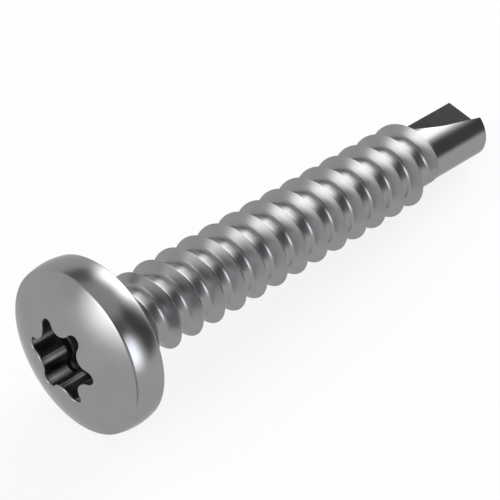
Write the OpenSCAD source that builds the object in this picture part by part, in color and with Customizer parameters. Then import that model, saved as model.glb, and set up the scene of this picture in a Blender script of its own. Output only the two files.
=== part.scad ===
// Self drilling screw with a low pan head and a six-lobe drive recess.
// Size 4.8 x 30 mm: a coarse right-hand tapping thread runs from a short neck under the
// head to the plain drill point, which has two milled flutes and a conical tip.
// All lengths are in millimetres. The screw is one piece of steel.
//
// The shape is built along its own axis: z = 0 is the bearing face under the head,
// the tip is at +z and the head is at -z. Angles turn right-handed about that axis.
// The finished screw is then laid on the floor, z = 0, where it comes to rest.

/* [Head] */
// Largest diameter of the head
head_d = 9.7; // [9:0.1:10.8]
// How far the side has drawn in from that diameter at the bearing face
rim_inset = 0.11; // [0.04:0.01:0.25]
// How far the side has drawn in from that diameter at the dome
crease_inset = 0.15; // [0.04:0.01:0.3]
// Height of the head above the bearing face
head_h = 3.1; // [2.8:0.1:3.8]
// Radius of the dome
dome_r = 9.6; // [8:0.1:13]
// Rounding between the dome and the side
crease_fillet = 0.2; // [0.05:0.05:0.4]
// Rounding at the edge of the bearing face
rim_fillet = 0.12; // [0.04:0.02:0.3]
// Diameter at which the flat bearing face starts, around the slope to the neck
seat_d = 5.1; // [5.1:0.05:5.6]
// Height of the slope between the bearing face and the neck
slope_h = 0.45; // [0.2:0.05:0.6]

/* [Drive recess] */
// Diameter across the tips of two opposite lobes
recess_across_lobes = 4.7; // [4.4:0.05:4.9]
// Diameter across two opposite flats between the lobes
recess_across_waist = 3.22; // [3:0.02:3.4]
// Radius of a lobe's tip
lobe_r = 0.42; // [0.36:0.02:0.48]
// Depth of the straight recess wall below the top of the dome
recess_wall_depth = 1.9; // [1.4:0.1:2.1]
// Depth of the middle of the recess floor below the top of the dome
recess_depth = 2.5; // [2.3:0.1:2.8]
// Angle of the first lobe about the axis
recess_angle = 25; // [0:1:59]

/* [Thread] */
// Outer diameter of the thread
thread_d = 4.8; // [4.5:0.05:5.1]
// Diameter of the shank between the turns
root_d = 3.58; // [3.52:0.02:3.8]
// Distance between two turns
pitch = 1.6; // [1.4:0.05:1.8]
// Angle between the two flanks of the thread
flank_angle = 60; // [50:1:62]
// Width of the blunted crest
crest_w = 0.1; // [0.06:0.02:0.2]
// Plain neck between the bearing face and the first rise of the thread
neck = 0.4; // [0:0.1:0.8]
// Turns over which the thread rises to its full height
rise_turns = 0.6; // [0.3:0.05:1]
// Where the full thread ends, measured from the bearing face
thread_end = 24.06; // [18:0.02:24.4]
// Turns over which the thread fades out
fade_turns = 0.22; // [0.12:0.02:0.5]
// Angle about the axis at which the full thread ends
thread_angle = 50; // [0:1:359]

/* [Drill point] */
// Length of the screw from the bearing face to the tip
length = 30; // [29:0.1:36]
// Diameter of the plain drill point
drill_d = 3.48; // [3.3:0.02:3.5]
// Angle of the conical tip
tip_angle = 122; // [118:1:140]
// Radius of the disc cutter that mills the flutes
cutter_r = 8; // [7:0.1:9]
// Angle at which the straight part of a flute's floor falls towards the axis
flute_slope = 13; // [11:0.5:15]
// Length of that straight part, up to the tip
flute_straight = 3.1; // [2.9:0.1:3.3]
// How far a flute is cut past the middle of the screw at the tip
flute_past_middle = 0.2; // [0.1:0.01:0.3]
// Thickness of the web between the two flutes
web_t = 0.2; // [0.1:0.02:0.5]
// Angle of the first cutting lip about the axis
lip_angle = 308; // [0:1:359]

/* [Hidden] */
steel = [0.62, 0.62, 0.63];
$fn = 96;

// How finely the thread is drawn: steps in one turn
thread_steps = 48;
// Room that a cutting or joining shape has beyond the faces it passes
spare = 1;
// Overlap that makes two arcs which only touch cross instead
touch = 0.002;
// Depth at which a shape ends inside the shank or the drill point
buried = 0.1;
// Smaller depth of that kind, for the crest where the thread ends
crest_buried = 0.04;

// Head outline, in radius and z. The side is an arc through the crease and the rim.
head_r = head_d / 2;
dome_centre = [0, dome_r - head_h];
crease_r = head_r - crease_inset;
crease = [crease_r, dome_centre[1] - sqrt(pow(dome_r, 2) - pow(crease_r, 2))];
rim = [head_r - rim_inset, 0];
side = arc_with_reach(crease, rim, head_r);
side_centre = [side[0], side[1]];
side_r = side[2];
crease_round = inner_tangent_centre(dome_centre, dome_r - crease_fillet,
                                    side_centre, side_r - crease_fillet);
crease_on_dome = dome_centre + dome_r * unit(crease_round - dome_centre);
crease_on_side = side_centre + side_r * unit(crease_round - side_centre);
rim_round = [side_centre[0] + sqrt(pow(side_r - rim_fillet, 2) - pow(side_centre[1] + rim_fillet, 2)),
             -rim_fillet];
rim_on_side = side_centre + side_r * unit(rim_round - side_centre);
rim_on_face = [rim_round[0], 0];

seat_r = seat_d / 2;
slope_end_r = root_d / 2 - buried;

// Six-lobe outline: the waist's arcs touch the lobes' arcs.
lobe_count = 6;
lobe_step = 360 / lobe_count;
lobe_centre = recess_across_lobes / 2 - lobe_r;
waist_r = tangent_radius(lobe_centre, lobe_r, recess_across_waist / 2, lobe_step / 2);
waist_centre = recess_across_waist / 2 + waist_r;
recess_reach = recess_across_lobes / 2 + spare;

// Thread outline: half the width of the ridge at its crest and at its foot
thread_r = thread_d / 2;
root_r = root_d / 2;
drill_r = drill_d / 2;
sunk_crest_r = drill_r - crest_buried;
sunk_foot_r = drill_r - buried;
half_crest = crest_w / 2;
flank_w = tan(flank_angle / 2);
// The helix starts inside the head and ends where the thread has faded out.
start_depth = 0.96;
full_turns = round((thread_end + start_depth) / pitch * thread_steps) / thread_steps;
first_z = thread_end - full_turns * pitch;
first_angle = thread_angle - full_turns * 360;
fade_steps = round(fade_turns * thread_steps);
full_steps = round(full_turns * thread_steps);
last_step = full_steps + fade_steps;
rise_start = round((neck - first_z) / pitch * thread_steps);
rise_end = rise_start + round(rise_turns * thread_steps);
// Height of the ridge where it is as good as gone, so that its edges stay apart
low_ridge = 0.02;

// Drill point
// Point of a flute's floor where its curve turns into the straight part
flute_floor = [flute_straight * tan(flute_slope) - flute_past_middle, length - flute_straight];
drill_start = thread_end - pitch;

// How it lies: on the arc of the head's side and on the lowest crest of the last full turn.
lowest_crest_z = thread_end - ((thread_angle + 180) % 360) / 360 * pitch + half_crest;
rest_run = lowest_crest_z - side_centre[1];
rest_rise = thread_r - side_centre[0];
lie_angle = asin(side_r / norm([rest_run, rest_rise])) - atan2(rest_rise, rest_run);
axis_h = side_centre[1] * sin(lie_angle) + side_centre[0] * cos(lie_angle) + side_r;
// Both ends along the floor, so that the origin is in the middle under the screw
mouth_r = recess_across_waist / 2;
mouth_z = dome_centre[1] - sqrt(pow(dome_r, 2) - pow(mouth_r, 2));
tail_x = mouth_z * cos(lie_angle) - mouth_r * sin(lie_angle);
tip_x = length * cos(lie_angle);
middle_x = (tail_x + tip_x) / 2;

function unit(v) = v / norm(v);

// Arc through two points that reaches out to a given radius: centre x, centre y, arc radius
function arc_with_reach(a, b, reach) =
    let (
        middle = (a + b) / 2,
        half = norm(b - a) / 2,
        along = unit(b - a),
        out = along[1] > 0 ? [along[1], -along[0]] : [-along[1], along[0]],
        bulge = reach - middle[0],
        r = (pow(half, 2) + pow(bulge, 2)) / (2 * bulge),
        c = middle - out * (r - bulge)
    )
    [c[0], c[1], r];

// Point at distance ra from a and rb from b, on the side away from the axis
function inner_tangent_centre(a, ra, b, rb) =
    let (
        gap = norm(b - a),
        along = (pow(ra, 2) - pow(rb, 2) + pow(gap, 2)) / (2 * gap),
        across = sqrt(pow(ra, 2) - pow(along, 2)),
        dir = unit(b - a),
        one = a + dir * along + [-dir[1], dir[0]] * across,
        other = a + dir * along - [-dir[1], dir[0]] * across
    )
    one[0] > other[0] ? one : other;

// Radius of an arc that passes the axis at the waist and touches a lobe's arc
function tangent_radius(centre, r, waist, half_step) =
    (pow(centre, 2) + pow(waist, 2) - 2 * centre * waist * cos(half_step) - pow(r, 2))
    / (2 * (r + centre * cos(half_step) - waist));

// Half of the head's cross-section, with both edges rounded
module head_section() {
    intersection() {
        translate(dome_centre) circle(r = dome_r);
        translate(side_centre) circle(r = side_r);
        polygon([
            [0, 0],
            rim_on_face,
            rim_on_side,
            rim_on_side + unit(rim_on_side - side_centre) * spare,
            crease_on_side + unit(crease_on_side - side_centre) * spare,
            crease_on_side,
            crease_on_dome,
            crease_on_dome + unit(crease_on_dome - dome_centre) * spare,
            [0, -head_h - spare]
        ]);
    }
    translate(crease_round) circle(r = crease_fillet);
    translate(rim_round) circle(r = rim_fillet);
}

// Low pan head: a shallow dome over a slightly barrelled side, and a slope down to the neck
module head() {
    rotate_extrude() head_section();
    cylinder(r1 = seat_r, r2 = slope_end_r, h = slope_h);
}

// Outline of the recess: six rounded lobes with a rounded waist between each pair
module lobe_outline() {
    difference() {
        polygon([
            for (i = [0 : lobe_count - 1], part = [0, 1])
                let (
                    a = (i + part / 2) * lobe_step,
                    r = part == 0 ? lobe_centre : waist_centre
                )
                r * [cos(a), sin(a)]
        ]);
        for (i = [0 : lobe_count - 1])
            rotate((i + 1 / 2) * lobe_step) translate([waist_centre, 0]) circle(r = waist_r);
    }
    for (i = [0 : lobe_count - 1])
        rotate(i * lobe_step) translate([lobe_centre, 0]) circle(r = lobe_r + touch);
}

// Space that the driver enters: straight walls and a shallow conical floor
module recess() {
    intersection() {
        rotate(recess_angle) translate([0, 0, -head_h - spare])
            linear_extrude(height = recess_depth + 2 * spare) lobe_outline();
        union() {
            translate([0, 0, -head_h - spare])
                cylinder(r = recess_reach, h = recess_wall_depth + spare);
            translate([0, 0, recess_wall_depth - head_h])
                cylinder(r1 = recess_reach, r2 = 0, h = recess_depth - recess_wall_depth);
        }
    }
}

// One point of the thread: its step along the helix, radius and place across the ridge
function thread_point(step, r, across) =
    let (
        turn = step / thread_steps,
        a = first_angle + turn * 360
    )
    [r * cos(a), r * sin(a), first_z + turn * pitch + across];

// Smooth change from 0 to 1 while the step goes from one to another
function ease(step, from, to) =
    step <= from ? 0 : step >= to ? 1 : 0.5 - 0.5 * cos(180 * (step - from) / (to - from));

// Radius at the foot of the ridge and at its crest. The ridge rises out of the neck under
// the head, and at its other end it sinks into the drill point.
function sunk(step) = ease(step, full_steps, last_step);
function foot_r(step) = root_r + (sunk_foot_r - root_r) * sunk(step);
function crest_r(step) =
    let (risen = low_ridge + (thread_r - root_r - low_ridge) * ease(step, rise_start, rise_end))
    root_r + risen + (sunk_crest_r - root_r - risen) * sunk(step);
function foot_across(step, r) = half_crest + (crest_r(step) - r) * flank_w;

// The ridge's front foot, which is also where the next turn starts
function front_foot(step) =
    let (r = foot_r(step + thread_steps))
    thread_point(step, r, foot_across(step, r));

// The four points across one turn: the front foot of the turn before it, then its own
// rear foot and the two edges of its crest
function turn_points(step) = [
    front_foot(step - thread_steps),
    thread_point(step, foot_r(step), -foot_across(step, foot_r(step))),
    thread_point(step, crest_r(step), -half_crest),
    thread_point(step, crest_r(step), half_crest)
];

// Index of a point. Past the last point of a turn comes the first one of the next turn.
turn_size = 4;
function point_index(step, part) =
    part < turn_size && step <= last_step ? step * turn_size + part :
    part < turn_size ? (last_step + 1) * turn_size + (step - last_step - 1) :
    point_index(step + thread_steps, part - turn_size);

// Shank with the thread around it, as one closed skin along the helix
module threaded_shank() {
    points = [
        for (step = [0 : last_step]) each turn_points(step),
        for (step = [last_step + 1 : last_step + thread_steps]) front_foot(step - thread_steps),
        [0, 0, first_z - pitch / 2],
        [0, 0, first_z + last_step / thread_steps * pitch]
    ];
    first_middle = len(points) - 2;
    last_middle = len(points) - 1;
    skin = [
        for (step = [0 : last_step - 1], part = [0 : turn_size - 1], half = [0, 1])
            let (
                a = point_index(step, part),
                b = point_index(step + 1, part),
                c = point_index(step + 1, part + 1),
                d = point_index(step, part + 1)
            )
            half == 0 ? [a, c, b] : [a, d, c]
    ];
    first_edge = [
        for (step = [0 : thread_steps]) point_index(step, 0),
        for (part = [turn_size - 1 : -1 : 1]) point_index(0, part)
    ];
    last_edge = [
        for (step = [thread_steps : -1 : 0]) point_index(last_step + step, 0),
        for (part = [1 : turn_size - 1]) point_index(last_step, part)
    ];
    polyhedron(points, concat(
        skin,
        fan(first_edge, first_middle),
        fan(last_edge, last_middle)
    ));
}

// Triangles from a middle point to each stretch of a closed edge
function fan(edge, middle) = [
    for (i = [0 : len(edge) - 1]) [middle, edge[i], edge[(i + 1) % len(edge)]]
];

// One milled flute: the cutter's flat side leaves the lip's face, its rim the floor, which
// curves in from the surface and then runs straight to the tip
module flute() {
    floor_length = flute_straight / cos(flute_slope) + spare;
    rotate(lip_angle) translate([0, web_t / 2, 0]) rotate([-90, 0, 0])
        linear_extrude(height = drill_r + spare)
            translate([flute_floor[0], -flute_floor[1]]) rotate(-flute_slope) {
                translate([cutter_r, 0]) circle(r = cutter_r);
                translate([-touch, -floor_length]) square([cutter_r, floor_length]);
            }
}

// Everything behind the conical tip, wider than the drill point
module tip_envelope() {
    envelope_r = drill_r + spare;
    rotate_extrude() polygon([
        [0, length],
        [envelope_r, length - envelope_r / tan(tip_angle / 2)],
        [envelope_r, drill_start - spare],
        [0, drill_start - spare]
    ]);
}

// Plain drill point: a short cylinder with two opposite flutes and a conical tip
module drill_point() {
    intersection() {
        difference() {
            translate([0, 0, drill_start])
                cylinder(r = drill_r, h = length - drill_start);
            flute();
            rotate(180) flute();
        }
        tip_envelope();
    }
}

module screw() {
    color(steel)
        translate([-middle_x, 0, axis_h]) rotate([0, 90 + lie_angle, 0]) rotate(180)
            difference() {
                union() {
                    head();
                    threaded_shank();
                    drill_point();
                }
                recess();
            }
}

screw();
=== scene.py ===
"""Looks and studio for the self drilling screw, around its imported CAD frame."""

import math

import bmesh
import bpy
import numpy as np
from mathutils import Matrix, Vector


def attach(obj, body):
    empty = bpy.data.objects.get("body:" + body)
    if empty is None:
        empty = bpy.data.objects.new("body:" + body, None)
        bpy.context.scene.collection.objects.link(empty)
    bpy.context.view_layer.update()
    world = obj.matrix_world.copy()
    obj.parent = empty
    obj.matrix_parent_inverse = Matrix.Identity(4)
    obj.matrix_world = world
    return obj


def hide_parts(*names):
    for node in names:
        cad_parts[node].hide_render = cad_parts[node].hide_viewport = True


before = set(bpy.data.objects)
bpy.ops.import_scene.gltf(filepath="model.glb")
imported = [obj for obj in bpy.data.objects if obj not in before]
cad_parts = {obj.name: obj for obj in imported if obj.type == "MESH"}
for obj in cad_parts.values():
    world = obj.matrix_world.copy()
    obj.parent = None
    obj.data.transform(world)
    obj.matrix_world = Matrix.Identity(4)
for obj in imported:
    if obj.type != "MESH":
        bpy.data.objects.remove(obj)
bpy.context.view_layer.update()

MM = 0.001

# Sizes of the screw in millimetres, as in the part's source. Along its own axis z = 0 is
# the bearing face, the tip is at +z, and angle 0 is up where the screw lies.
HEAD_D = 9.7
RIM_INSET = 0.11
CREASE_INSET = 0.15
HEAD_H = 3.1
DOME_R = 9.6
CREASE_FILLET = 0.2
RIM_FILLET = 0.12
SEAT_D = 5.1
SLOPE_H = 0.45

RECESS_ACROSS_LOBES = 4.7
RECESS_ACROSS_WAIST = 3.22
LOBE_COUNT = 6
LOBE_R = 0.42
RECESS_WALL_DEPTH = 1.9
RECESS_DEPTH = 2.5
RECESS_ANGLE = 25

THREAD_D = 4.8
ROOT_D = 3.58
PITCH = 1.6
FLANK_ANGLE = 60
CREST_W = 0.1
NECK = 0.4
RISE_TURNS = 0.6
THREAD_END = 24.06
FADE_TURNS = 0.22
THREAD_ANGLE = 50

LENGTH = 30
DRILL_D = 3.48
TIP_ANGLE = 122
CUTTER_R = 8
FLUTE_SLOPE = 13
FLUTE_STRAIGHT = 3.1
FLUTE_PAST_MIDDLE = 0.2
WEB_T = 0.2
LIP_ANGLE = 308

# Depth at which the slope under the head ends inside the shank
BURIED = 0.1
# Room that a cutting shape has beyond the faces it passes
SPARE = 1
# Foot of the recess's walls, where its floor starts
FLOOR_RIM_Z = RECESS_WALL_DEPTH - HEAD_H

# Roundings and edges too fine for the CAD part
MOUTH_ROUND = 0.08
FLOOR_ROUND = 0.1
ROOT_ROUND = 0.35
CREST_EDGE = 0.03
# Place of the step between the shank and the drill point, and half its length
SEAM_Z = 24.7
SEAM_HALF = 0.03
# How far past the root of the thread the flutes are cut
FLUTE_REACH = 0.05
# Least share of its width that the ridge has where it rises and fades
LEAST_WIDTH = 0.35

# Fineness of the mesh: columns around the screw, and steps along each stretch
COLUMNS = 144
LOBE_STEPS = 7
WAIST_STEPS = COLUMNS // (2 * LOBE_COUNT) - LOBE_STEPS
WALL_STEPS = 4
ROUND_STEPS = 4
DOME_STEPS = 20
FILLET_STEPS = 6
SIDE_STEPS = 8
FLANK_STEPS = 3
FOOT_STEPS = 6
CUTTER_STEPS = 40
# Rings on the plainer stretches, as shares of each stretch
FLOOR_SHARES = (0.15, 0.4, 0.7, 0.9, 1)
SEAT_SHARES = (0.3, 0.6, 0.85, 1)
SLOPE_SHARES = (0.5, 1)
DRILL_SHARES = (0.33, 0.67, 1)
TIP_SHARES = (0.3, 0.6, 0.85)
# Share of the way over the dome at which the columns are evenly spaced
DOME_EVEN = 0.9
# Edges that turn more than this many degrees stay sharp.
SHARP_ANGLE = 25

# Camera: place, view direction and image right, in the row frame
CAMERA_AT = Vector((-65.5444, -62.731, 86.4868)) * MM
CAMERA_FORWARD = Vector((0.519325, 0.516138, -0.681104))
CAMERA_RIGHT = Vector((0.704927, -0.709279, 0.0))
CAMERA_LENS = 160.02
CAMERA_SENSOR = 36.0
CAMERA_SHIFT = (-0.0014, 0.0006)
CAMERA_NEAR = 0.01

# Floor: half its side in metres, its colour, how much of its shadow it keeps, and over what
# length that fades out at its edge
FLOOR_HALF = 0.045
FLOOR_COLOUR = (0.95, 0.95, 0.95, 1)
FLOOR_SHADOW_SHARE = 0.16
FLOOR_FADE = 0.012

# Studio: light level by direction. Each zone has its azimuth and elevation spans in
# degrees, how soft its sides and its top and bottom are, and its level, where 1 is plain white.
WORLD_LEVEL = 1.0
BACKDROP_LEVEL = 1.0
ZONES = {
    "sky": ((-180, 180), (0, 95), (0, 10), 0.88),
    "top": ((-180, 180), (47, 95), (0, 9), 0.68),
    "left_low": ((-160, -98), (-4, 28), (12, 12), 0.6),
    "left_high": ((-165, -60), (27, 60), (10, 10), 0.22),
    "near_low": ((-150, -100), (-44, -4), (14, 12), 0.58),
    "left_gap": ((-61, -25), (-5, 54), (8, 9), 0.13),
    "right_gap": ((44, 82), (28, 58), (10, 10), 0.25),
    "key_box": ((-9, 35), (9, 43), (12, 13), 5.8),
    "left_box": ((-93, -71), (-1, 32), (8, 11), 4.2),
    "back_box": ((159, 192), (5, 34), (12, 17), 5.0),
}
WHITE = (1, 1, 1, 1)
BLUISH_ZONE = "left_box"
BLUISH = (0.93, 0.95, 1.06, 1)

# Colours of satin steel, and a lighter copy of it for steel that is seen in other steel, which is
# painted light
STEEL_COLOUR = (0.286, 0.286, 0.29, 1)
STEEL_DARK = (0.274, 0.274, 0.277, 1)
STEEL_MIRRORED_PAINTED_LIGHT = (0.34, 0.34, 0.345, 1)
STEEL_EDGE_TINT = (0.7, 0.7, 0.7, 1)
# Painted shade on the recess's walls, painted highlight streaks on them, and darker painted shade
# on its floor
RECESS_PAINTED_SHADE = (0.06, 0.06, 0.06, 1)
RECESS_PAINTED_HIGHLIGHT = (1.0, 1.0, 1.0, 1)
RECESS_FLOOR_PAINTED_SHADE = (0.025, 0.025, 0.025, 1)
# Lighter copy of the recess's steel for steel seen in other steel: painted light
RECESS_MIRRORED_PAINTED_LIGHT = (0.48, 0.48, 0.48, 1)

# Roughness: its span over the steel, the least on the thread, and what the recess and the
# head add to it
STEEL_ROUGHNESS = (0.11, 0.16)
THREAD_ROUGHNESS = 0.277
RECESS_ROUGHNESS = 0.12
HEAD_ROUGHNESS = 0.06

# Noises by millimetre, and the spans of each that a change goes over
BLOTCH_PER_MM = 0.55
BLOTCH_DETAIL = 3.0
BLOTCH_COLOUR_SPAN = (0.35, 0.65)
BLOTCH_ROUGHNESS_SPAN = (0.3, 0.7)
GRAIN_PER_MM = 8.0
GRAIN_DETAIL = 2.0
GRAIN_HEIGHT = 0.00025

# Painted highlight streaks along the recess's walls, at the middles of its lobes and waists
STREAKS_AROUND = 2 * LOBE_COUNT
STREAK_SPAN = (-0.3, 1.0)
STREAK_PER_MM = (7.0, 7.0, 0.1)
STREAK_DETAIL = 3.0
STREAK_NOISE_SPAN = (0.25, 0.6)

# Spans in millimetres over which one look of the steel changes into another: under the
# dome, above the bearing face, out from the lobes, above the recess's floor, and at the
# two ends of the shank
UNDER_DOME = (0.08, 0.16)
IN_HEAD_Z = (-0.45, -0.5)
PAST_LOBES = (0.375, 0.275)
ABOVE_FLOOR = (0.15, 0.02)
NECK_BLEND = 0.3
SEAM_BLEND = 0.5


def unit(v):
    """The same direction with length 1."""
    return v / np.linalg.norm(v)


def arc_with_reach(a, b, reach):
    """Centre and radius of the arc through two points that reaches out to a given radius."""
    half = np.linalg.norm(b - a) / 2
    middle = (a + b) / 2
    along = unit(b - a)
    out = np.array([along[1], -along[0]])
    out = out if along[1] > 0 else -out
    bulge = reach - middle[0]
    radius = (half ** 2 + bulge ** 2) / (2 * bulge)
    return middle - out * (radius - bulge), radius


def inner_tangent_centre(a, ra, b, rb):
    """Point at distance ra from a and rb from b, on the side away from the axis."""
    gap = np.linalg.norm(b - a)
    along = (ra ** 2 - rb ** 2 + gap ** 2) / (2 * gap)
    across = math.sqrt(ra ** 2 - along ** 2)
    d = unit(b - a)
    aside = np.array([-d[1], d[0]]) * across
    return max(a + d * along + aside, a + d * along - aside, key=lambda p: p[0])


def arc(centre, radius, start, end, count):
    """Points on an arc from one point to another, both of them included."""
    first = math.atan2(start[1] - centre[1], start[0] - centre[0])
    turn = math.atan2(end[1] - centre[1], end[0] - centre[0]) - first
    turn = (turn + math.pi) % (2 * math.pi) - math.pi
    return [centre + radius * np.array([math.cos(first + turn * i / count),
                                        math.sin(first + turn * i / count)])
            for i in range(count + 1)]


def ease(value, start, end):
    """Smooth change from 0 to 1 while the value goes from start to end."""
    t = min(max((value - start) / (end - start), 0), 1)
    return 0.5 - 0.5 * math.cos(math.pi * t)


def turned(points, degrees):
    """Points in the plane, turned about the axis."""
    a = math.radians(degrees)
    return points @ np.array([[math.cos(a), math.sin(a)], [-math.sin(a), math.cos(a)]])


def polar(points):
    """Radius and angle in degrees of points in the plane."""
    return np.hypot(points[:, 0], points[:, 1]), np.degrees(np.arctan2(points[:, 1], points[:, 0]))


def near(angles, reference):
    """The same angles, each within half a turn of its reference."""
    return reference + (angles - reference + 180) % 360 - 180


class Skin:
    """Closed skin of rings around the axis, all with the same number of columns."""

    def __init__(self):
        self.points = []
        self.faces = []
        self.count = 0

    def add(self, r, angle, z):
        """Adds points by radius, angle in degrees and z, and returns their indices."""
        r, angle, z = np.broadcast_arrays(r, np.radians(angle), z)
        first = self.count
        self.points.append(np.stack([r * np.cos(angle), r * np.sin(angle), z], -1).reshape(-1, 3))
        self.count += r.size
        return np.arange(first, self.count).reshape(r.shape)

    def strip(self, rings):
        """Joins each ring to the next one with quads."""
        for a, b in zip(rings, rings[1:]):
            for i in range(len(a)):
                k = (i + 1) % len(a)
                self.faces.append((a[i], a[k], b[k], b[i]))

    def close(self, ring, middle, before):
        """Joins a ring to one point, which lies before or after it."""
        for i in range(len(ring)):
            k = (i + 1) % len(ring)
            self.faces.append((middle, ring[k], ring[i]) if before else (ring[i], ring[k], middle))


# Helix: steps of one column each. Step 0 lies wholly before the neck's last ring. The rows
# of the thread start and end at two rings, and have no points of their own close to them.
NECK_GAP = 0.02
RING_MARGIN = 0.01
NECK_Z = NECK + NECK_GAP
HELIX_END_Z = SEAM_Z - 2 * SEAM_HALF
STEP_ANGLE = 360 / COLUMNS
STEP_Z = PITCH / COLUMNS
FULL_STEP = math.ceil((THREAD_END - NECK_Z + PITCH / 2) / STEP_Z)
FIRST_Z = THREAD_END - FULL_STEP * STEP_Z
FIRST_ANGLE = THREAD_ANGLE - FULL_STEP * STEP_ANGLE
LAST_STEP = math.ceil((HELIX_END_Z + PITCH / 2 - FIRST_Z) / STEP_Z)
COLUMN_ANGLES = FIRST_ANGLE + STEP_ANGLE * np.arange(COLUMNS)


def dome_z(r):
    """Place of the dome at a radius."""
    return DOME_R - HEAD_H - np.sqrt(DOME_R ** 2 - r ** 2)


def recess_floor_z(r):
    """Place of the recess's floor, which is a shallow cone, at a radius."""
    reach = RECESS_ACROSS_LOBES / 2 + SPARE
    return FLOOR_RIM_Z + (RECESS_DEPTH - RECESS_WALL_DEPTH) * (1 - r / reach)


def head_side():
    """Centre and radius of the arc that is the head's side, in radius and z."""
    head_r = HEAD_D / 2
    crease_r = head_r - CREASE_INSET
    crease = np.array([crease_r, dome_z(crease_r)])
    rim = np.array([head_r - RIM_INSET, 0])
    return arc_with_reach(crease, rim, head_r)


def recess_contour():
    """Points of the recess's wall, one for every column, and their outward directions."""
    half_step = math.radians(180 / LOBE_COUNT)
    lobe_c = np.array([RECESS_ACROSS_LOBES / 2 - LOBE_R, 0])
    waist = RECESS_ACROSS_WAIST / 2
    waist_r = ((lobe_c[0] ** 2 + waist ** 2 - 2 * lobe_c[0] * waist * math.cos(half_step)
                - LOBE_R ** 2) / (2 * (LOBE_R + lobe_c[0] * math.cos(half_step) - waist)))
    waist_dir = np.array([math.cos(half_step), math.sin(half_step)])
    waist_c = waist_dir * (waist + waist_r)
    join = lobe_c + unit(waist_c - lobe_c) * LOBE_R
    tip = lobe_c + np.array([LOBE_R, 0])
    lobe = arc(lobe_c, LOBE_R, tip, join, LOBE_STEPS)
    hollow = arc(waist_c, waist_r, join, waist_dir * waist, WAIST_STEPS)[1:]
    half = [(p, unit(p - lobe_c)) for p in lobe] + [(p, unit(waist_c - p)) for p in hollow]
    other = [(p * [1, -1], n * [1, -1]) for p, n in half]
    one_lobe = other[:0:-1] + half[:-1]
    # The points are shifted so that each lies close to the evenly spaced column of its number.
    tip_column = round((RECESS_ANGLE - FIRST_ANGLE) / STEP_ANGLE)
    shift = (tip_column - (LOBE_STEPS + WAIST_STEPS - 1)) % COLUMNS
    around = [np.concatenate([turned(np.array(part), RECESS_ANGLE + 360 / LOBE_COUNT * i)
                              for i in range(LOBE_COUNT)]) for part in zip(*one_lobe)]
    return [np.roll(part, shift, axis=0) for part in around]


def recess_rings(skin, wall, out):
    """Floor, wall and rounded mouth of the recess, from the middle out."""
    rings = []
    foot = wall - out * FLOOR_ROUND
    for share in FLOOR_SHARES:
        r, angle = polar(foot * share)
        rings.append(skin.add(r, angle, recess_floor_z(r)))
    wall_r, wall_angle = polar(wall)
    mouth_r, _ = polar(wall + out * MOUTH_ROUND)
    bottom = recess_floor_z(wall_r) - FLOOR_ROUND
    top = dome_z(mouth_r) + MOUTH_ROUND
    turns = [math.radians(90 * i / ROUND_STEPS) for i in range(1, ROUND_STEPS + 1)]
    for turn in turns:
        r, angle = polar(foot + out * FLOOR_ROUND * math.sin(turn))
        rings.append(skin.add(r, angle, bottom + FLOOR_ROUND * math.cos(turn)))
    for i in range(1, WALL_STEPS + 1):
        rings.append(skin.add(wall_r, wall_angle, bottom + (top - bottom) * i / WALL_STEPS))
    for turn in turns:
        r, angle = polar(wall + out * MOUTH_ROUND * (1 - math.cos(turn)))
        rings.append(skin.add(r, angle, top - MOUTH_ROUND * math.sin(turn)))
    return rings


def head_outline():
    """Radius where the dome ends, and points in radius and z from there to the neck."""
    dome_c = np.array([0, DOME_R - HEAD_H])
    side_c, side_r = head_side()
    crease_c = inner_tangent_centre(dome_c, DOME_R - CREASE_FILLET, side_c, side_r - CREASE_FILLET)
    on_dome = dome_c + DOME_R * unit(crease_c - dome_c)
    crease_on_side = side_c + side_r * unit(crease_c - side_c)
    rim_c = np.array([side_c[0] + math.sqrt((side_r - RIM_FILLET) ** 2
                                            - (side_c[1] + RIM_FILLET) ** 2), -RIM_FILLET])
    rim_on_side = side_c + side_r * unit(rim_c - side_c)
    rim_on_face = np.array([rim_c[0], 0])
    outline = (arc(crease_c, CREASE_FILLET, on_dome, crease_on_side, FILLET_STEPS)[1:]
               + arc(side_c, side_r, crease_on_side, rim_on_side, SIDE_STEPS)[1:]
               + arc(rim_c, RIM_FILLET, rim_on_side, rim_on_face, FILLET_STEPS)[1:])
    seat = np.array([SEAT_D / 2, 0])
    slope_end_r = ROOT_D / 2 - BURIED
    slope_end_share = (seat[0] - ROOT_D / 2) / (seat[0] - slope_end_r)
    on_neck = np.array([ROOT_D / 2, SLOPE_H * slope_end_share])
    outline += [rim_on_face + (seat - rim_on_face) * share for share in SEAT_SHARES]
    outline += [seat + (on_neck - seat) * share for share in SLOPE_SHARES]
    return on_dome[0], outline


def head_rings(skin):
    """Head with its recess, from the middle of the recess's floor to the neck."""
    wall, out = recess_contour()
    middle = skin.add(0.0, 0.0, recess_floor_z(0))
    rings = recess_rings(skin, wall, out)
    dome_end_r, outline = head_outline()
    # Dome: the columns ease from the recess's outline to even spacing.
    mouth_r, mouth_angle = polar(wall + out * MOUTH_ROUND)
    mouth_angle = near(mouth_angle, COLUMN_ANGLES)
    for i in range(1, DOME_STEPS + 1):
        share = i / DOME_STEPS
        r = mouth_r + (dome_end_r - mouth_r) * share
        angle = mouth_angle + (COLUMN_ANGLES - mouth_angle) * ease(share, 0, DOME_EVEN)
        rings.append(skin.add(r, angle, dome_z(r)))
    for r, z in outline:
        rings.append(skin.add(r, COLUMN_ANGLES, z))
    rings.append(skin.add(ROOT_D / 2, COLUMN_ANGLES, NECK_Z))
    skin.close(rings[0], middle.item(), True)
    skin.strip(rings)
    return rings[-1]


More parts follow.
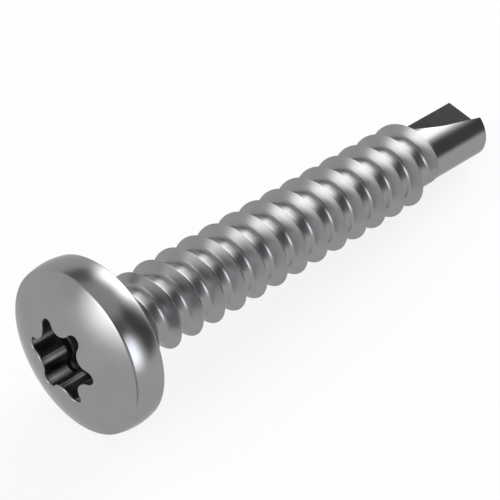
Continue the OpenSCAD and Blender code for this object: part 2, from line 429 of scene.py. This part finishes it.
def ridge_rows():
    """Across the ridge from its middle forward: place along the axis and height."""
    height = (THREAD_D - ROOT_D) / 2
    foot_x = CREST_W / 2 + height * math.tan(math.radians(FLANK_ANGLE / 2))
    crest_end = (CREST_EDGE / 2, height)
    # The flank keeps the foot of the CAD part's flank and meets the narrower crest.
    turn = math.pi / 2 - math.atan((foot_x - crest_end[0]) / height)
    back = ROOT_ROUND * math.tan(turn / 2)
    foot = [(foot_x + back - ROOT_ROUND * math.sin(turn * i / FOOT_STEPS),
             ROOT_ROUND * (1 - math.cos(turn * i / FOOT_STEPS))) for i in range(FOOT_STEPS, -1, -1)]
    flank = [tuple(c + (f - c) * i / FLANK_STEPS for c, f in zip(crest_end, foot[0]))
             for i in range(1, FLANK_STEPS)]
    return [crest_end] + flank + foot


def thread_rings(skin, neck_ring):
    """The thread's rows run along the helix, and end flat against the rings around them."""
    front = ridge_rows()
    rows = [(-PITCH / 2, 0)] + [(-across, height) for across, height in front[::-1]] + front
    half_crest = CREST_EDGE / 2
    end_ring = skin.add(ROOT_D / 2, COLUMN_ANGLES, HELIX_END_Z)
    rise_step = (NECK - FIRST_Z) / STEP_Z
    steps = np.arange(LAST_STEP + 1)
    rise = np.array([ease(s, rise_step, rise_step + RISE_TURNS * COLUMNS) for s in steps])
    fade = np.array([1 - ease(s, FULL_STEP, FULL_STEP + FADE_TURNS * COLUMNS) for s in steps])
    share = rise * fade
    width = np.maximum(share, LEAST_WIDTH)
    index = np.zeros((LAST_STEP + 1, len(rows) + 1), int)
    for j, (across, height) in enumerate(rows):
        if j and abs(across) > half_crest:
            edge = math.copysign(half_crest, across)
            across = edge + (across - edge) * width
        z = FIRST_Z + steps * STEP_Z + across
        r = ROOT_D / 2 + height * share
        inside = (z > NECK_Z + RING_MARGIN) & (z < HELIX_END_Z - RING_MARGIN)
        column = steps % COLUMNS
        index[:, j] = np.where(z <= NECK_Z + RING_MARGIN, neck_ring[column], end_ring[column])
        index[inside, j] = skin.add(r[inside], FIRST_ANGLE + steps[inside] * STEP_ANGLE, z[inside])
    # Past the last row comes the first row of the next turn.
    last = len(rows)
    index[:-COLUMNS, last] = index[COLUMNS:, 0]
    index[-COLUMNS:, last] = end_ring[steps[-COLUMNS:] % COLUMNS]
    for s in range(LAST_STEP):
        for j in range(last):
            quad = (index[s, j], index[s + 1, j], index[s + 1, j + 1], index[s, j + 1])
            face = [v for i, v in enumerate(quad) if v != quad[i - 1]]
            if len(set(face)) > 2:
                skin.faces.append(tuple(face))
    return end_ring


def drill_rings(skin, end_ring):
    """Step from the shank, and the drill point with its cone, without its flutes."""
    drill_r = DRILL_D / 2
    tip_h = drill_r / math.tan(math.radians(TIP_ANGLE / 2))
    drill_end = LENGTH - tip_h
    outline = [(ROOT_D / 2, SEAM_Z - SEAM_HALF), (drill_r, SEAM_Z + SEAM_HALF)]
    outline += [(drill_r, SEAM_Z + (drill_end - SEAM_Z) * share) for share in DRILL_SHARES]
    outline += [(drill_r * (1 - share), drill_end + tip_h * share) for share in TIP_SHARES]
    rings = [end_ring] + [skin.add(r, COLUMN_ANGLES, z) for r, z in outline]
    skin.strip(rings)
    tip = skin.add(0.0, 0.0, LENGTH)
    skin.close(rings[-1], tip.item(), False)


def lying():
    """Angle and place of the screw at rest: on the side of its head and on its thread."""
    side_c, side_r = head_side()
    lowest = THREAD_END - ((THREAD_ANGLE + 180) % 360) / 360 * PITCH + CREST_W / 2
    run = lowest - side_c[1]
    rise = THREAD_D / 2 - side_c[0]
    angle = math.asin(side_r / math.hypot(run, rise)) - math.atan2(rise, run)
    height = side_c[1] * math.sin(angle) + side_c[0] * math.cos(angle) + side_r
    # The head's far end is the recess's mouth at its upper waist.
    mouth_r = RECESS_ACROSS_WAIST / 2
    tail_x = dome_z(mouth_r) * math.cos(angle) - mouth_r * math.sin(angle)
    middle = (tail_x + LENGTH * math.cos(angle)) / 2
    return angle, height, middle


def placed(points):
    """Points of the screw's own frame, in millimetres, in the row frame in metres."""
    angle, height, middle = lying()
    up, aside, z = points[:, 0], points[:, 1], points[:, 2]
    x = z * math.cos(angle) + up * math.sin(angle) - middle
    height = height - z * math.sin(angle) + up * math.cos(angle)
    return np.stack([x, -aside, height], -1) * MM


def mesh_object(name, points, faces):
    """New object from points in the screw's own frame."""
    mesh = bpy.data.meshes.new(name)
    mesh.from_pydata(placed(points).tolist(), [], faces)
    mesh.validate()
    obj = bpy.data.objects.new(name, mesh)
    bpy.context.scene.collection.objects.link(obj)
    return obj


def flute_cutter(name, lip_angle):
    """Solid that a flute takes away: flat at the lip's face, with the cutter's curved floor."""
    slope = math.radians(FLUTE_SLOPE)
    bend = np.array([FLUTE_STRAIGHT * math.tan(slope) - FLUTE_PAST_MIDDLE, LENGTH - FLUTE_STRAIGHT])
    centre = bend + CUTTER_R * np.array([math.cos(slope), math.sin(slope)])
    outer = ROOT_D / 2 + FLUTE_REACH
    start_z = centre[1] - math.sqrt(CUTTER_R ** 2 - (centre[0] - outer) ** 2)
    floor_end = bend + (FLUTE_STRAIGHT + SPARE) * np.array([-math.tan(slope), 1])
    profile = arc(centre, CUTTER_R, np.array([outer, start_z]), bend, CUTTER_STEPS)
    profile += [floor_end, np.array([outer, floor_end[1]])]
    count = len(profile)
    lip = math.radians(lip_angle)
    along = np.array([math.cos(lip), math.sin(lip)])
    across = np.array([-math.sin(lip), math.cos(lip)])
    points = [[*(along * out + across * aside), z]
              for aside in (WEB_T / 2, outer + SPARE) for out, z in profile]
    faces = [tuple(range(count)), tuple(range(2 * count - 1, count - 1, -1))]
    faces += [(i, count + i, count + (i + 1) % count, (i + 1) % count) for i in range(count)]
    cutter = mesh_object(name, np.array(points), faces)
    work = bmesh.new()
    work.from_mesh(cutter.data)
    bmesh.ops.recalc_face_normals(work, faces=work.faces[:])
    work.to_mesh(cutter.data)
    work.free()
    return cutter


def bake(obj):
    """Applies the object's modifiers to its mesh."""
    bpy.context.view_layer.update()
    graph = bpy.context.evaluated_depsgraph_get()
    mesh = bpy.data.meshes.new_from_object(obj.evaluated_get(graph), depsgraph=graph)
    obj.modifiers.clear()
    obj.data = mesh


def cut_flutes(screw):
    """Takes the two flutes away from the drill point."""
    cutters = [flute_cutter("flute_a", LIP_ANGLE), flute_cutter("flute_b", LIP_ANGLE + 180)]
    for cutter in cutters:
        cut = screw.modifiers.new(cutter.name, "BOOLEAN")
        cut.operation = "DIFFERENCE"
        cut.solver = "EXACT"
        cut.object = cutter
    bake(screw)
    for cutter in cutters:
        bpy.data.objects.remove(cutter)


def smooth_faces(screw):
    """Shades the screw smooth, with its sharp edges kept."""
    screw.data.polygons.foreach_set("use_smooth", [True] * len(screw.data.polygons))
    screw.data.set_sharp_from_angle(angle=math.radians(SHARP_ANGLE))
    weigh = screw.modifiers.new("normals", "WEIGHTED_NORMAL")
    weigh.mode = "FACE_AREA"
    weigh.keep_sharp = True
    bake(screw)


def make_screw(material):
    """The whole screw as one skin, in the place of the CAD part's screw."""
    skin = Skin()
    neck_ring = head_rings(skin)
    end_ring = thread_rings(skin, neck_ring)
    drill_rings(skin, end_ring)
    screw = mesh_object("screw_steel", np.concatenate(skin.points),
                        [tuple(int(i) for i in face) for face in skin.faces])
    cut_flutes(screw)
    smooth_faces(screw)
    screw.data.materials.clear()
    screw.data.materials.append(material)
    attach(screw, "root")
    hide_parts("screw")


class Graph:
    """Short notation for a node tree."""

    def __init__(self, tree):
        self.nodes = tree.nodes
        self.links = tree.links
        self.nodes.clear()

    def fill(self, node, inputs):
        """Links or sets the inputs of a node."""
        for key, value in inputs.items():
            if isinstance(value, bpy.types.NodeSocket):
                self.links.new(value, node.inputs[key])
            else:
                node.inputs[key].default_value = value

    def add(self, kind, inputs=None, **settings):
        """New node with its inputs and settings."""
        node = self.nodes.new(kind)
        for name, value in settings.items():
            setattr(node, name, value)
        self.fill(node, inputs or {})
        return node

    def math(self, operation, *values):
        """Number that a Math node gives."""
        return self.add("ShaderNodeMath", dict(enumerate(values)), operation=operation).outputs[0]

    def vector(self, operation, *values):
        """Vector or length that a Vector Math node gives."""
        node = self.add("ShaderNodeVectorMath", dict(enumerate(values)), operation=operation)
        return node.outputs["Value" if operation in ("LENGTH", "DISTANCE") else "Vector"]

    def noise(self, place, scale, detail):
        """Noise from 0 to 1."""
        return self.add("ShaderNodeTexNoise", {
            "Vector": place, "Scale": scale, "Detail": detail}).outputs["Fac"]

    def ramp(self, value, start, end, low=0.0, high=1.0):
        """Smooth change from low to high while the value goes from start to end."""
        return self.add("ShaderNodeMapRange", {
            "Value": value, "From Min": start, "From Max": end, "To Min": low, "To Max": high},
            interpolation_type="SMOOTHSTEP").outputs["Result"]

    def mix(self, share, a, b):
        """Mix of two colours."""
        node = self.add("ShaderNodeMix", data_type="RGBA")
        self.fill(node, {0: share, 6: a, 7: b})
        return node.outputs[2]


def screw_coordinates(graph):
    """Object coordinates turned into the screw's own frame, in millimetres."""
    angle, height, middle = lying()
    up = Vector((math.sin(angle), 0, math.cos(angle)))
    along = Vector((math.cos(angle), 0, -math.sin(angle)))
    axes = Matrix((up, Vector((0, -1, 0)), along)).transposed()
    place = graph.add("ShaderNodeTexCoord").outputs["Object"]
    mapping = graph.add("ShaderNodeMapping", {
        "Vector": place, "Location": Vector((-middle, 0, height)) * MM,
        "Rotation": axes.to_euler(), "Scale": (MM, MM, MM)}, vector_type="TEXTURE")
    return mapping.outputs["Vector"]


def recess_mask(graph, place, z):
    """1 inside the recess: under the dome, in the head and near the axis."""
    far, close = [DOME_R - depth for depth in UNDER_DOME]
    under_dome = graph.ramp(graph.vector("DISTANCE", place, (0, 0, DOME_R - HEAD_H)), far, close)
    radius = graph.vector("LENGTH", graph.vector("MULTIPLY", place, (1, 1, 0)))
    outer, inner = [RECESS_ACROSS_LOBES / 2 + past for past in PAST_LOBES]
    near_axis = graph.ramp(radius, outer, inner)
    in_head = graph.math("MULTIPLY", under_dome, graph.ramp(z, *IN_HEAD_Z))
    return graph.math("MULTIPLY", in_head, near_axis)


def recess_painted_shade_and_highlights(graph, place, axes):
    """Painted shade on the walls with painted highlight streaks along them, and darker painted
    shade on the floor.
    """
    turn = graph.math("ARCTAN2", axes["Y"], axes["X"])
    wave = graph.math("COSINE", graph.math("MULTIPLY_ADD", turn, STREAKS_AROUND,
                                           -STREAKS_AROUND * math.radians(RECESS_ANGLE)))
    uneven = graph.noise(graph.vector("MULTIPLY", place, STREAK_PER_MM), 1.0, STREAK_DETAIL)
    # Painted highlight streaks on the walls, at the middles of the lobes and waists.
    painted_highlight_streaks = graph.math("MULTIPLY", graph.ramp(wave, *STREAK_SPAN),
                         graph.ramp(uneven, *STREAK_NOISE_SPAN))
    # Painted shade on the walls, and darker painted shade near the floor.
    walls = graph.mix(painted_highlight_streaks, RECESS_PAINTED_SHADE, RECESS_PAINTED_HIGHLIGHT)
    at_floor = graph.ramp(axes["Z"], *[FLOOR_RIM_Z - height for height in ABOVE_FLOOR])
    return graph.mix(at_floor, walls, RECESS_FLOOR_PAINTED_SHADE)


def steel_roughness(graph, blotch, recessed, z):
    """Satin, and rougher on the rolled thread, in the recess and on the head."""
    rolled = graph.math("MULTIPLY", graph.ramp(z, 0.0, NECK_BLEND),
                        graph.ramp(z, SEAM_Z, SEAM_Z - SEAM_BLEND))
    roughness = graph.math("MAXIMUM", graph.ramp(blotch, *BLOTCH_ROUGHNESS_SPAN, *STEEL_ROUGHNESS),
                           graph.math("MULTIPLY", rolled, THREAD_ROUGHNESS))
    roughness = graph.math("MULTIPLY_ADD", recessed, RECESS_ROUGHNESS, roughness)
    return graph.math("MULTIPLY_ADD", graph.ramp(z, NECK_BLEND, 0.0), HEAD_ROUGHNESS, roughness)


def make_steel():
    """Satin steel with soft blotches, a fine grain, painted shade and painted highlight streaks in
    the recess, and painted light where steel is seen in other steel.
    """
    material = bpy.data.materials.new("steel")
    material.use_nodes = True
    graph = Graph(material.node_tree)
    place = screw_coordinates(graph)
    axes = graph.add("ShaderNodeSeparateXYZ", {0: place}).outputs
    blotch = graph.noise(place, BLOTCH_PER_MM, BLOTCH_DETAIL)
    recessed = recess_mask(graph, place, axes["Z"])
    colour = graph.mix(graph.ramp(blotch, *BLOTCH_COLOUR_SPAN), STEEL_DARK, STEEL_COLOUR)
    # In the recess the colour is painted shade with painted highlight streaks.
    colour = graph.mix(recessed, colour, recess_painted_shade_and_highlights(graph, place, axes))
    # Painted light: steel that is seen in other steel is drawn lighter than steel that the camera
    # sees, in the recess too.
    glossy_ray = graph.add("ShaderNodeLightPath").outputs["Is Glossy Ray"]
    colour = graph.mix(glossy_ray, colour, graph.mix(recessed, STEEL_MIRRORED_PAINTED_LIGHT, RECESS_MIRRORED_PAINTED_LIGHT))
    grain = graph.noise(place, GRAIN_PER_MM, GRAIN_DETAIL)
    bump = graph.add("ShaderNodeBump", {
        "Height": grain, "Strength": 1.0, "Distance": GRAIN_HEIGHT * MM})
    shader = graph.add("ShaderNodeBsdfPrincipled", {
        "Base Color": colour, "Metallic": 1.0, "Specular Tint": STEEL_EDGE_TINT,
        "Roughness": steel_roughness(graph, blotch, recessed, axes["Z"]),
        "Normal": bump.outputs["Normal"]})
    graph.add("ShaderNodeOutputMaterial", {"Surface": shader.outputs[0]})
    return material


def make_floor():
    """White floor that keeps a faint shadow."""
    h = FLOOR_HALF
    mesh = bpy.data.meshes.new("floor")
    mesh.from_pydata([(-h, -h, 0), (h, -h, 0), (h, h, 0), (-h, h, 0)], [], [(0, 1, 2, 3)])
    floor = bpy.data.objects.new("floor", mesh)
    bpy.context.scene.collection.objects.link(floor)
    material = bpy.data.materials.new("floor")
    material.use_nodes = True
    graph = Graph(material.node_tree)
    path = graph.add("ShaderNodeLightPath").outputs
    # The floor is white to the rays that show it as the background, and keeps a share of its
    # shadow that fades out towards its edge.
    seen = graph.math("MAXIMUM", path["Is Glossy Ray"], path["Is Transmission Ray"])
    seen = graph.math("MAXIMUM", path["Is Camera Ray"], seen)
    away = graph.vector("LENGTH", graph.add("ShaderNodeTexCoord").outputs["Object"])
    shadow = graph.ramp(away, h, h - FLOOR_FADE, 0.0, FLOOR_SHADOW_SHARE)
    share = graph.math("MULTIPLY", seen, graph.math("SUBTRACT", 1.0, shadow))
    diffuse = graph.add("ShaderNodeBsdfDiffuse", {"Color": FLOOR_COLOUR}).outputs[0]
    white = graph.add("ShaderNodeEmission", {"Strength": 1.0}).outputs[0]
    surface = graph.add("ShaderNodeMixShader", {0: share, 1: diffuse, 2: white}).outputs[0]
    # Glossy rays then pass through it, so that the metal shows the white of the world below
    # the horizon in the floor's place.
    clear = graph.add("ShaderNodeBsdfTransparent").outputs[0]
    surface = graph.add("ShaderNodeMixShader", {0: path["Is Glossy Ray"], 1: surface, 2: clear})
    graph.add("ShaderNodeOutputMaterial", {"Surface": surface.outputs[0]})
    mesh.materials.append(material)


def zone_share(graph, azimuth, elevation, spans):
    """1 inside a zone of the studio and 0 outside it, with soft edges."""
    (left, right), (low, high), (side, end) = spans
    middle, half = (left + right) / 2, (right - left) / 2
    away = graph.math("ABSOLUTE", graph.math("WRAP", graph.math("SUBTRACT", azimuth, middle),
                                             -180.0, 180.0))
    beside = graph.ramp(away, half + side, half - side) if half < 180 else 1.0
    above = graph.ramp(elevation, low - end, low + end)
    below = graph.ramp(elevation, high + end, high - end)
    return graph.math("MULTIPLY", beside, graph.math("MULTIPLY", above, below))


def make_world():
    """Studio around the screw, as soft boxes and dark gaps by direction."""
    world = bpy.data.worlds.new("studio")
    bpy.context.scene.world = world
    world.use_nodes = True
    graph = Graph(world.node_tree)
    toward = graph.add("ShaderNodeTexCoord").outputs["Generated"]
    axes = graph.add("ShaderNodeSeparateXYZ", {0: toward}).outputs
    azimuth = graph.math("DEGREES", graph.math("ARCTAN2", axes["Y"], axes["X"]))
    elevation = graph.math("DEGREES", graph.math("ARCSINE", axes["Z"]))
    level, tint = WORLD_LEVEL, WHITE
    for name, (*spans, zone_level) in ZONES.items():
        share = zone_share(graph, azimuth, elevation, spans)
        step = graph.math("SUBTRACT", zone_level, level)
        level = graph.math("MULTIPLY_ADD", step, share, level)
        if name == BLUISH_ZONE:
            tint = graph.mix(share, tint, BLUISH)
    # The camera sees a white backdrop past the edge of the floor.
    camera_ray = graph.add("ShaderNodeLightPath").outputs["Is Camera Ray"]
    level = graph.math("MAXIMUM", graph.math("MULTIPLY", camera_ray, BACKDROP_LEVEL),
                       graph.math("MULTIPLY", graph.math("SUBTRACT", 1.0, camera_ray), level))
    tint = graph.mix(camera_ray, tint, WHITE)
    background = graph.add("ShaderNodeBackground", {"Color": tint, "Strength": level})
    graph.add("ShaderNodeOutputWorld", {"Surface": background.outputs[0]})


def make_camera():
    """Camera at the photo's viewing angle."""
    data = bpy.data.cameras.new("camera")
    data.lens = CAMERA_LENS
    data.sensor_width = CAMERA_SENSOR
    data.shift_x, data.shift_y = CAMERA_SHIFT
    data.clip_start = CAMERA_NEAR
    camera = bpy.data.objects.new("camera", data)
    forward = CAMERA_FORWARD.normalized()
    right = CAMERA_RIGHT.normalized()
    up = right.cross(forward)
    axes = Matrix((right, up, -forward)).transposed().to_4x4()
    camera.matrix_world = Matrix.Translation(CAMERA_AT) @ axes
    bpy.context.scene.collection.objects.link(camera)
    bpy.context.scene.camera = camera


make_screw(make_steel())
make_floor()
make_world()
make_camera()
bpy.context.scene.view_settings.view_transform = "Standard"
